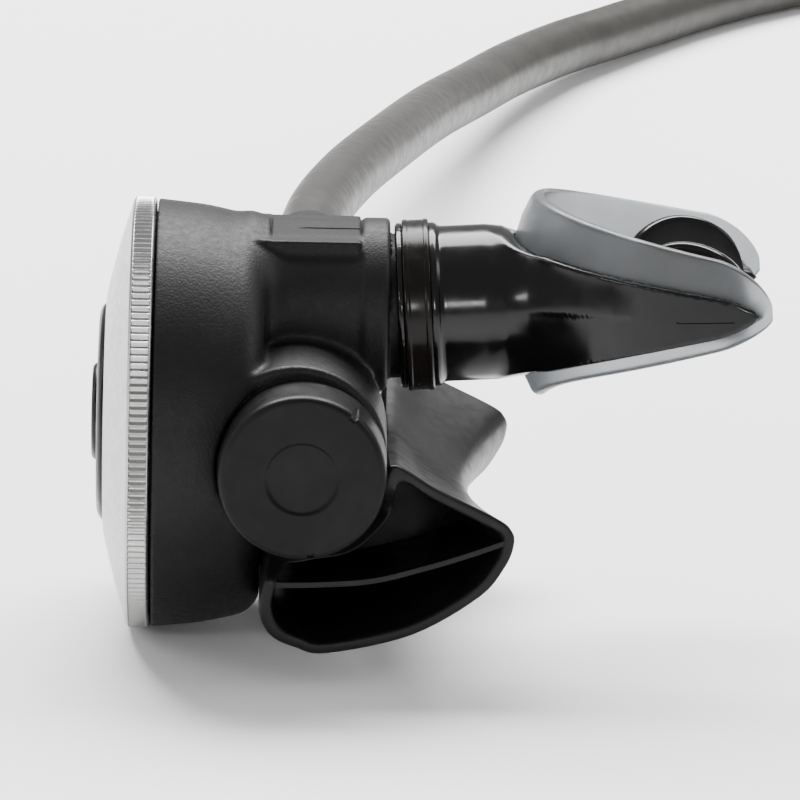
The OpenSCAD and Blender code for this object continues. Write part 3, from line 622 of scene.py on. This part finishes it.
def make_case():
    low = (BARREL_X - 30, -38, -1)
    high = (BARREL_X + 26, 38, 76)
    points, faces = surface_net(case_field, low, high, 0.5)
    piece("case_moulding", points, faces, NYLON, replaces=("case_body",), sharp=60)
    # parting line along the flat on top of the neck
    rings = []
    for along in np.linspace(-1.5, 9.2, 12):
        height = 13.3 + 0.16 * min(1.0, (along + 1.5) * 0.6 + 0.15)
        rings.append(placed([
            [-13.2, -0.8, along], [-height, -0.62, along], [-height, -0.38, along],
            [-13.2, -0.2, along]], NECK_AXIS))
    points, faces = skin(rings)
    piece("parting_line", points, faces, SMOOTH_NYLON)


make_case()


# ------------------------------------------------------------ front
def make_front():
    teeth = 180

    def knurl(radius, height, angles):
        if radius < BEZEL_R - 0.35 or not -29.35 < height < -26.25:
            return 0 * angles
        return -0.42 * np.abs(np.sin(teeth / 2 * angles)) ** 1.5

    rim = [(BEZEL_R - 0.45, -25.85, 0.1), (BEZEL_R - 0.05, -26.15, 0.1)]
    rim += [(BEZEL_R, h, 0) for h in np.linspace(-26.4, -29.2, 8)]
    rim += [(BEZEL_R - 0.05, -29.45, 0.1), (BEZEL_R - 0.5, -29.8, 0.2)]
    outline = rounded([
        (34.48, -25.85, 0.2), *rim, (35.2, -30.2, 0.8), (29.6, -31.9, 5), (24.5, -33.2, 4),
        (20.5, -34.1, 0.5), (19.4, -34.1, 0.3), (19.4, -33.55, 0.1), (24, -32.3, 1),
        (28.4, -31.2, 1), (31.7, -30.6, 0.2), (31.7, -29.3, 0.1), (34.48, -29.3, 0.1)], 0.2, True, 4)
    points, faces = lathe(outline, CASE_AXIS, steps=teeth * 8, wave=knurl)
    piece("knurled_bezel", points, faces, BEZEL_METAL, "bezel", ("bezel_ring",), 30)

    outline = rounded([
        (8.47, -35.3, 0.1), (9.4, -35.3, 0.2), (9.7, -35.12, 0.1), (10.3, -35.12, 0.1),
        (10.6, -35.3, 0.1), (17.2, -35.3, 1), (18.6, -34.6, 0.8), (19, -33.4, 0.6), (24, -32, 1),
        (28.4, -30.9, 1), (31.4, -30.3, 0.1), (31.6, -29.9, 0.1), (27, -29.9, 0.2),
        (23.4, -30.9, 0.5), (18.4, -32.2, 0.5), (18, -33.2, 0.5), (17.2, -34.3, 0.4),
        (8.47, -34.3, 0.1)], 0.2, True)
    points, faces = lathe(outline, CASE_AXIS)
    cover = piece("cover_dome", points, faces, COVER_PLASTIC, replaces=("front_cover",))
    vents, vent_inner, vent_outer, vent_r = 12, 11.9, 15.4, 0.75
    half_turn = np.linspace(-pi / 2, pi / 2, 9)
    for k in range(vents):
        turned = CASE_AXIS @ turn(k * 2 * pi / vents, "Z")
        slot = [(vent_inner - vent_r * cos(a), -vent_r * sin(a)) for a in half_turn]
        slot += [(vent_outer + vent_r * cos(a), vent_r * sin(a)) for a in half_turn]
        rings = [placed([[x, y, h] for x, y in slot], turned) for h in (-36.5, -33)]
        carve(cover, *skin(rings))

    outline = rounded([
        (0, -36.0), (2.6, -36.05, 0.2), (2.9, -35.85, 0.2), (3.5, -35.85, 0.2), (3.8, -36.15, 0.2),
        (5.2, -36.25, 0.2), (5.5, -36.05, 0.2), (6.1, -36.05, 0.2), (6.4, -36.3, 0.2),
        (7.7, -36.4, 0.4), (8.4, -35.8, 0.4), (8.4, -34.2, 0.1), (9.8, -34.2, 0.1),
        (9.8, -33.4, 0.1), (2.6, -33.4, 0.1), (2.6, -27.6, 0.2), (0, -27.5)], 0.2)
    points, faces = lathe(outline, CASE_AXIS, closed=False)
    piece("purge_cap", points, faces, COVER_PLASTIC, "button", ("purge_button",))


make_front()


# ------------------------------------------------------------ end cap
def make_end_cap():
    nicks = [radians(-52), radians(83)]

    def nick(radius, height, angles):
        if radius < CAP_R - 1.2 or height > CAP_FACE_Y + 4:
            return 0 * angles
        gap = [np.abs((angles - a + pi) % (2 * pi) - pi) * CAP_R for a in nicks]
        return -0.5 * (np.minimum(*gap) < 0.5)

    outline = rounded([
        (0, CAP_FACE_Y + 0.5), (5.9, CAP_FACE_Y + 0.5, 0.5), (6.35, CAP_FACE_Y, 0.4),
        (CAP_R - 1.1, CAP_FACE_Y, 0.3), (CAP_R - 0.3, CAP_FACE_Y + 0.35, 0.5),
        (CAP_R, CAP_FACE_Y + 1.2, 0.6), (CAP_R, CAP_FACE_Y + 2.4, 0.05),
        (CAP_R, CAP_FACE_Y + 6, 0.05), (CAP_R, -31.0, 0.2), (10.4, -31.0, 0.1),
        (10.4, -25.1, 0.3), (0, -25.1)], 0.3)
    points, faces = lathe(outline, BARREL_AXIS, closed=False, steps=360, wave=nick)
    piece("cap_turning", points, faces, CAP_PLASTIC, replaces=("end_cap",))


make_end_cap()

# ------------------------------------------------------------ exhaust tee
TEE_WING = [
    [14.8, 38.7], [23, 34.6], [33.2, 29.7], [35.8, 27.6], [36.3, 25.2], [34.9, 21.2],
    [30.5, 15.6], [19.2, 8.7], [4.9, 5.2], [-0.7, 6.2], [-5, 8.4], [-6.9, 12.6],
    [-6.4, 16.4], [-4.5, 21.4], [0.6, 22.2], [7.8, 24], [13.2, 29.6]]
TEE_WING_INSIDE = [
    [16.6, 35.6], [22.6, 32.6], [32.2, 27.9], [33.9, 26.7], [34.3, 25.2], [33.1, 22.0],
    [29.1, 17.0], [18.5, 10.6], [4.8, 7.2], [0.2, 8.1], [-3.1, 9.8], [-4.6, 12.9],
    [-4.3, 15.9], [-2.9, 19.6], [1, 20.3], [8.9, 22.4], [15, 28.8]]
TEE_WAIST = [
    [14.4, 35.4], [19.5, 32.4], [26, 28], [28.2, 25.6], [28.6, 23], [27.2, 19.6],
    [24, 15.6], [15.5, 9.8], [4.5, 6.6], [-0.5, 6], [-5, 6.6], [-6.8, 9], [-6.8, 17],
    [-6.6, 23.6], [-2.6, 23], [5, 24.2], [11.4, 29.2]]
TEE_WAIST_INSIDE = [
    [15.6, 32.8], [19.2, 30.3], [25, 26.3], [26.4, 24.7], [26.7, 23.2], [25.5, 20.5],
    [22.7, 17], [14.7, 11.7], [4.4, 8.5], [0, 7.9], [-3.9, 8.5], [-4.9, 9.8], [-4.9, 16.8],
    [-4.7, 21.5], [-2.4, 21.1], [5.8, 22.4], [13, 28.2]]
WEB_WING = [[-5.3, 17.8], [2, 17.9], [12.3, 18.8], [21.8, 21.4], [29, 23.8], [34.8, 26]]
WEB_WAIST = [[-5.9, 16.4], [1, 16.5], [9, 17.2], [16, 18.8], [22, 20.8], [27.4, 22.8]]
WEB_T = 1.15


def tee_loop(share, waist, wing):
    """Smooth outline of the tee at a share of the way from its middle to a wing's end."""
    flare = min(1.0, abs(share)) ** 1.8
    corners = np.array(waist) * (1 - flare) + np.array(wing) * flare
    loop = curve_points(corners, 6, closed=True)
    # the rim is set back behind the end cap
    near_cap = np.clip((20 - np.hypot(loop[:, 0], loop[:, 1] - BARREL_Z)) / 4, 0, 1)
    tuck = 6 * near_cap * np.clip((34 - loop[:, 1]) / 4, 0, 1)
    y = share * (TEE_HALF_W - tuck * abs(share) ** 3)
    return np.stack([BARREL_X + loop[:, 0], y, loop[:, 1]], -1)


def make_tee():
    lip = 0.8
    middle = np.linspace(-1, 1, 61) * (1 - lip / TEE_HALF_W)
    ease = np.linspace(0, pi / 2, 6)
    ends = 1 - lip * (1 - np.sin(ease)) / TEE_HALF_W
    shares = [*-ends[::-1], *middle, *ends]
    pinch = [*(1 - np.cos(ease))[::-1], *np.zeros(61), *(1 - np.cos(ease))]
    outer, inner = [], []
    for share, close in zip(shares, pinch):
        a = tee_loop(share, TEE_WAIST, TEE_WING)
        b = tee_loop(share, TEE_WAIST_INSIDE, TEE_WING_INSIDE)
        outer.append(a + (b - a) * 0.34 * close)
        inner.append(b + (a - b) * 0.26 * close)
    points, faces = skin(outer + inner[::-1], closed_path=True)
    tee = piece("exhaust_duct", points, faces, TEE_PLASTIC, replaces=("exhaust_tee",))
    port = [(0, CASE_BACK - 1), (EXHAUST_R + 0.6, CASE_BACK - 1), (EXHAUST_R + 0.6, -3.2), (0, -3.2)]
    carve(tee, *lathe(port, EXHAUST_AXIS, closed=False, steps=64))

    for side in (-1, 1):
        rings = []
        for share in [0.4, 0.6, 0.8, 0.93, 0.96, 0.975, 0.985, 0.99]:
            flare = share ** 1.8
            thin = 0.12 * max(0.0, (share - 0.96) / 0.03) ** 2
            line = np.array(WEB_WAIST) * (1 - flare) + np.array(WEB_WING) * flare
            line = curve_points(line, 5)
            edge = [[x, z - thin] for x, z in line] + [[x, z - WEB_T + thin] for x, z in line[::-1]]
            rings.append([[BARREL_X + x, side * share * TEE_HALF_W, z] for x, z in edge])
        points, faces = skin(rings)
        side_name = "near" if side < 0 else "far"
        made = ("exhaust_webs",) if side < 0 else ()
        piece("exhaust_web_" + side_name, points, faces, TEE_PLASTIC, replaces=made)

    # wall across the middle that parts the two outlets, clear of the valve
    wall = tee_loop(0, TEE_WAIST, TEE_WAIST_INSIDE)
    wall[:, 0] = np.maximum(wall[:, 0], BARREL_X - 2.6)
    middle = wall.mean(0)
    rings = [middle + (wall - middle) * share + [0, y, 0] for y, share in (
        (-0.7, 0.93), (-0.5, 0.95), (0.5, 0.95), (0.7, 0.93))]
    points, faces = skin(rings)
    piece("exhaust_divider", points, faces, TEE_PLASTIC)


make_tee()

# ------------------------------------------------------------ mouthpiece
SHIELD_U, SHIELD_L, SHIELD_W, SHIELD_T = 63.0, 45.5, 27.0, 2.4
TUBE_R = 13.4
DUCT_OUTER = np.array([
    [8, TUBE_R, TUBE_R, TUBE_R, 1], [11.8, TUBE_R, TUBE_R, TUBE_R, 1], [15, 13.7, 12.9, 13, 0.95],
    [18.8, 14.8, 10.6, 12.2, 0.85], [22, 16, 8.9, 11.2, 0.75], [28, 18.4, 7.7, 9.8, 0.6],
    [33, 20.6, 7, 8.8, 0.5]])
DUCT_INNER = np.array([
    [-4, 12.4, 12.4, 12.4, 1], [5, 12.4, 12.4, 12.4, 1], [5.2, 11, 11, 11, 1],
    [11.8, 10.6, 10.6, 10.6, 1], [18.8, 11.6, 7.8, 9, 0.8], [24, 12.4, 6.2, 7.6, 0.7],
    [36, 12.8, 6, 7.4, 0.7]])
TUBE_OUTLINE = rounded([
    (0, -3.5, 0), (14.2, -3.5, 0.5), (14.2, -2.4, 0.4), (13.94, -2.3, 0.1), (13.94, 2.3, 0.1),
    (14.1, 2.4, 0.4), (14.1, 3.4, 0.5), (TUBE_R, 4.0, 0.5), (TUBE_R, 12, 0), (0, 12, 0)], 0.3)


def shield_top(a):
    return 9 + 9.6 * np.cos(1.15 * a)


def shield_bottom(a):
    return -13.4 * np.cos(0.85 * a) - 3 * np.cos(a) ** 12


def tip(a, start, end):
    """Share of the full height left where a wing rounds off between two angles in degrees."""
    return np.sqrt(1 - np.clip((np.degrees(np.abs(a)) - start) / (end - start), 0, 1) ** 2)


def duct_field(q, stations):
    """Rough distance to a duct whose section goes from round to flat and wide."""
    u, v, w = q[..., 0], q[..., 1], q[..., 2]
    wide, top, bottom, square = [np.interp(u, stations[:, 0], stations[:, k]) for k in range(1, 5)]
    tall = np.where(w > 0, top, bottom)
    level = np.sqrt((np.abs(v) / wide) ** (2 / square) + (w / tall) ** 2)
    ends = np.maximum(stations[0, 0] - u, u - stations[-1, 0])
    return np.maximum((level - 1) * np.minimum(wide, tall), ends)


def arch_terms(q):
    """Distance outside the shield's middle line in plan, and the angle round it."""
    u, v = (SHIELD_U - q[..., 0]) / SHIELD_L, q[..., 1] / SHIELD_W
    size = np.maximum(np.hypot(u, v), 1e-3)
    slope = np.hypot(u / SHIELD_L, v / SHIELD_W) / size
    return (size - 1) / np.maximum(slope, 1e-4), np.arctan2(np.abs(v), u)


def mouth_field(p):
    """Mouthpiece body: tube, flattening horn and the leaves that back the shield."""
    q = local(p, BITE_FRAME)
    out, a = arch_terms(q)
    w = q[..., 2]
    share = np.clip((np.degrees(a) - 30) / 48, 0, 1.2) ** 1.1
    end = tip(a, 74, 83)
    top, bottom = (9.3 - 6.5 * share) * end, (-10 + 7 * share) * end
    leaf = np.maximum(np.abs(out - 1.45) - 0.55, np.maximum(w - top, bottom - w) * 0.9)
    leaf = np.maximum(leaf, (np.degrees(a) - 83) * 0.5) - 0.15
    horn = duct_field(q, DUCT_OUTER)
    solid = join(horn, leaf, 4.0)
    solid = np.minimum(solid, turned_field(p, BITE_AXIS, TUBE_OUTLINE))
    solid = np.maximum(solid, SHIELD_T / 2 - 0.35 - out)
    return np.maximum(solid, -duct_field(q, DUCT_INNER))


def arch_section(a, inner, outer, low, high, edge, spans=10):
    """Rounded section across the shield at an angle round it; its top and bottom lean back."""
    middle = np.array([SHIELD_U - SHIELD_L * cos(a), SHIELD_W * sin(a)])
    normal = np.array([-cos(a) / SHIELD_L, sin(a) / SHIELD_W])
    normal /= np.linalg.norm(normal)
    heights = np.linspace(low, high, spans)
    ease = [edge, *[0] * (spans - 2), edge]
    corners = [(outer, w, r) for w, r in zip(heights, ease)]
    corners += [(inner, w, r) for w, r in zip(heights[::-1], ease)]
    outline = rounded(corners, edge, True, 6)
    lean = 0.03 * np.maximum(0, np.abs(outline[:, 1]) - 7) ** 2 * cos(a) ** 2
    return placed([[middle[0] + normal[0] * o + back, middle[1] + normal[1] * o, w]
                   for (o, w), back in zip(outline, lean)], BITE_FRAME)


def make_mouthpiece():
    # The net is made in the bite frame, where the part lies square to the grid
    low, high = (-4.5, -30, -15), (62, 30, 15.5)
    points, faces = surface_net(lambda q: mouth_field(placed(q, BITE_FRAME)), low, high, 0.4)
    body = piece("mouthpiece_moulding", placed(points, BITE_FRAME), faces, GLOSSY_SILICONE,
                 replaces=("mouthpiece_body",), sharp=70)

    rings = []
    for a in np.radians(86) * np.sin(np.radians(np.linspace(-90, 90, 141))):
        end = tip(a, 74, 86.2)
        rings.append(arch_section(a, -SHIELD_T / 2, SHIELD_T / 2 - 0.3,
                                  shield_bottom(a) * end, shield_top(a) * end, 1.0))
    points, faces = skin(rings)
    shield = piece("mouth_shield", points, faces, CLEAR_SILICONE,
                   replaces=("mouthpiece_shield",))
    rings = []
    for u in np.linspace(12, 30, 10):
        wide, top, bottom, square = [np.interp(u, DUCT_INNER[:, 0], DUCT_INNER[:, k]) for k in range(1, 5)]
        angles = np.linspace(0, 2 * pi, 64, endpoint=False)
        c, s = np.cos(angles), np.sin(angles)
        rings.append(placed(np.stack([
            u + 0 * c, wide * np.sign(c) * np.abs(c) ** square, np.where(s > 0, top, bottom) * s],
            -1), BITE_FRAME))
    carve(shield, *skin(rings))

    # slit in the outer face of each leaf
    for side in (-1, 1):
        rings = [arch_section(side * radians(turned), 1.75, 2.3, -0.85, -0.5, 0.05, 2)
                 for turned in np.linspace(65.5, 78, 12)]
        carve(body, *skin(rings), 70)

    for side, name in ((-1, "near"), (1, "far")):
        plate, lug = [], []
        for t in np.linspace(0, 1, 33):
            turned = 38 + 46 * t
            width = 3 + 8 * min(1.0, (turned - 38) / 10)
            thin = 1 - (2 * t - 1) ** 10
            plate.append(arch_section(side * radians(turned), -width, -SHIELD_T / 2 + 0.1,
                                      -0.4 - 1.8 * thin, -0.4 + 1.8 * thin, 0.8, 3))
            lift = 3.4 + 7.6 * max(0.0, sin(pi * t)) ** 0.6
            ease = (1 - (2 * t - 1) ** 12) ** 0.5
            lug.append(arch_section(side * radians(45 + 36 * t), -11, -8.4,
                                    -min(lift, 5.5) * ease - 0.3, lift * ease + 0.3, 1.1, 4))
        points, faces = skin(plate)
        made = ("bite_tabs",) if side < 0 else ()
        piece("bite_plate_" + name, points, faces, GLOSSY_SILICONE, replaces=made)
        points, faces = skin(lug)
        piece("bite_lug_" + name, points, faces, GLOSSY_SILICONE)


make_mouthpiece()


LOCK_ANGLE = 105


def make_clamp():
    outline = rounded([
        (13.94, -2.3, 0.1), (14.6, -2.3, 0.25), (14.74, -2.0, 0.15), (14.74, -1.5, 0.1),
        (14.62, -1.3, 0.1), (14.62, 1.3, 0.1), (14.74, 1.5, 0.1), (14.74, 2.0, 0.15),
        (14.6, 2.3, 0.25), (13.94, 2.3, 0.1)], 0.2, True)
    points, faces = lathe(outline, BITE_AXIS, steps=180)
    piece("clamp_band", points, faces, BAND_PLASTIC, replaces=("mouthpiece_clamp",))
    rings, lock = [], BITE_AXIS @ turn(radians(LOCK_ANGLE), "Z")
    for h, inset in ((-1.8, 0.35), (-1.6, 0.1), (-1.4, 0), (1.4, 0), (1.6, 0.1), (1.8, 0.35)):
        outline = rounded([
            (14.3, -2 + inset), (15.7 - inset, -2 + inset), (15.7 - inset, 2 - inset),
            (14.3, 2 - inset)], 0.35, True)
        rings.append(placed([[x, y, h] for x, y in outline], lock))
    points, faces = skin(rings)
    piece("clamp_lock", points, faces, BAND_PLASTIC)
    for k in range(9):
        angle = radians(LOCK_ANGLE + 18 + 4.5 * k)
        tooth = BITE_AXIS @ turn(angle, "Z")
        rings = [placed([[14.55, -0.28, h], [14.73, -0.12, h], [14.73, 0.12, h], [14.55, 0.28, h]], tooth)
                 for h in (-1.1, 1.1)]
        points, faces = skin(rings)
        piece("clamp_tooth_" + str(k), points, faces, BAND_PLASTIC)


make_clamp()


def make_barrel_nut():
    points, faces = hexagon_face(19, 31, 34.5, 7.5, BARREL_AXIS, 0.7)
    piece("barrel_hexagon", points, faces, CHROME, replaces=("barrel_nut",))


make_barrel_nut()

# ------------------------------------------------------------ materials of the CAD nodes
NODE_MATERIALS = {
    "valve_barrel": PLATED_BRASS, "spring_adjuster": PLATED_BRASS, "orifice": CHROME,
    "lever_pin": SPRING_STEEL, "demand_lever": SPRING_STEEL, "purge_spring": SPRING_STEEL,
    "poppet_spring": SPRING_STEEL, "diaphragm_plate": SPRING_STEEL,
    "deflector_vane": TEE_PLASTIC, "purge_guide": TEE_PLASTIC, "diaphragm_ring": WHITE_PLASTIC,
    "poppet": WHITE_PLASTIC, "diaphragm": DIAPHRAGM_RUBBER, "exhaust_valve": DIAPHRAGM_RUBBER,
    "seat_disc": SEAL_RUBBER, "end_cap_oring": SEAL_RUBBER, "barrel_oring": SEAL_RUBBER,
    "orifice_oring": SEAL_RUBBER, "stem_oring": SEAL_RUBBER, "end_oring": SEAL_RUBBER,
    "hose_stem": CHROME, "hose_ferrule": FERRULE_METAL}
for node, material in NODE_MATERIALS.items():
    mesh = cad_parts[node].data
    mesh.materials.clear()
    mesh.materials.append(material)


# ------------------------------------------------------------ stage
def make_stage():
    mesh = bpy.data.meshes.new("floor")
    mesh.from_pydata([(-6, -6, 0), (6, -6, 0), (6, 6, 0), (-6, 6, 0)], [], [(0, 1, 2, 3)])
    paper = Material("floor_paper", (0.93, 0.93, 0.93), 0.7)
    paper.bump(paper.noise(1.0, 2), 0.01, 0.1)
    mesh.materials.append(paper.material)
    floor = bpy.data.objects.new("floor", mesh)
    floor.location.z = -0.0004
    bpy.context.scene.collection.objects.link(floor)

    world = bpy.data.worlds.new("studio")
    world.use_nodes = True
    world.node_tree.nodes["Background"].inputs["Color"].default_value = (1, 1, 1, 1)
    world.node_tree.nodes["Background"].inputs["Strength"].default_value = 0.5
    bpy.context.scene.world = world

    def softbox(name, place, aim, size, power):
        data = bpy.data.lights.new(name, "AREA")
        data.shape = "RECTANGLE"
        data.size, data.size_y = size
        data.energy = power
        light = bpy.data.objects.new(name, data)
        bpy.context.scene.collection.objects.link(light)
        direction = Vector(aim) - Vector(place)
        light.matrix_world = Matrix.Translation(Vector(place)) @ direction.to_track_quat(
            "-Z", "Y").to_matrix().to_4x4()

    softbox("overhead", (0.0, 1.0, 1.5), (0.0, 0.1, 0), (1.8, 1.0), 130)
    softbox("front", (0.07, -1.3, 0.36), (0, 0, 0.05), (0.12, 0.12), 3.0)
    softbox("front_left", (-0.9, -0.9, 0.45), (0, 0, 0.05), (0.3, 0.12), 3.0)
    softbox("right", (1.4, 0.1, 0.75), (0, 0, 0.04), (0.5, 0.9), 8)
    softbox("left", (-1.4, 0.2, 0.6), (0, 0, 0.04), (0.5, 0.9), 5)


make_stage()
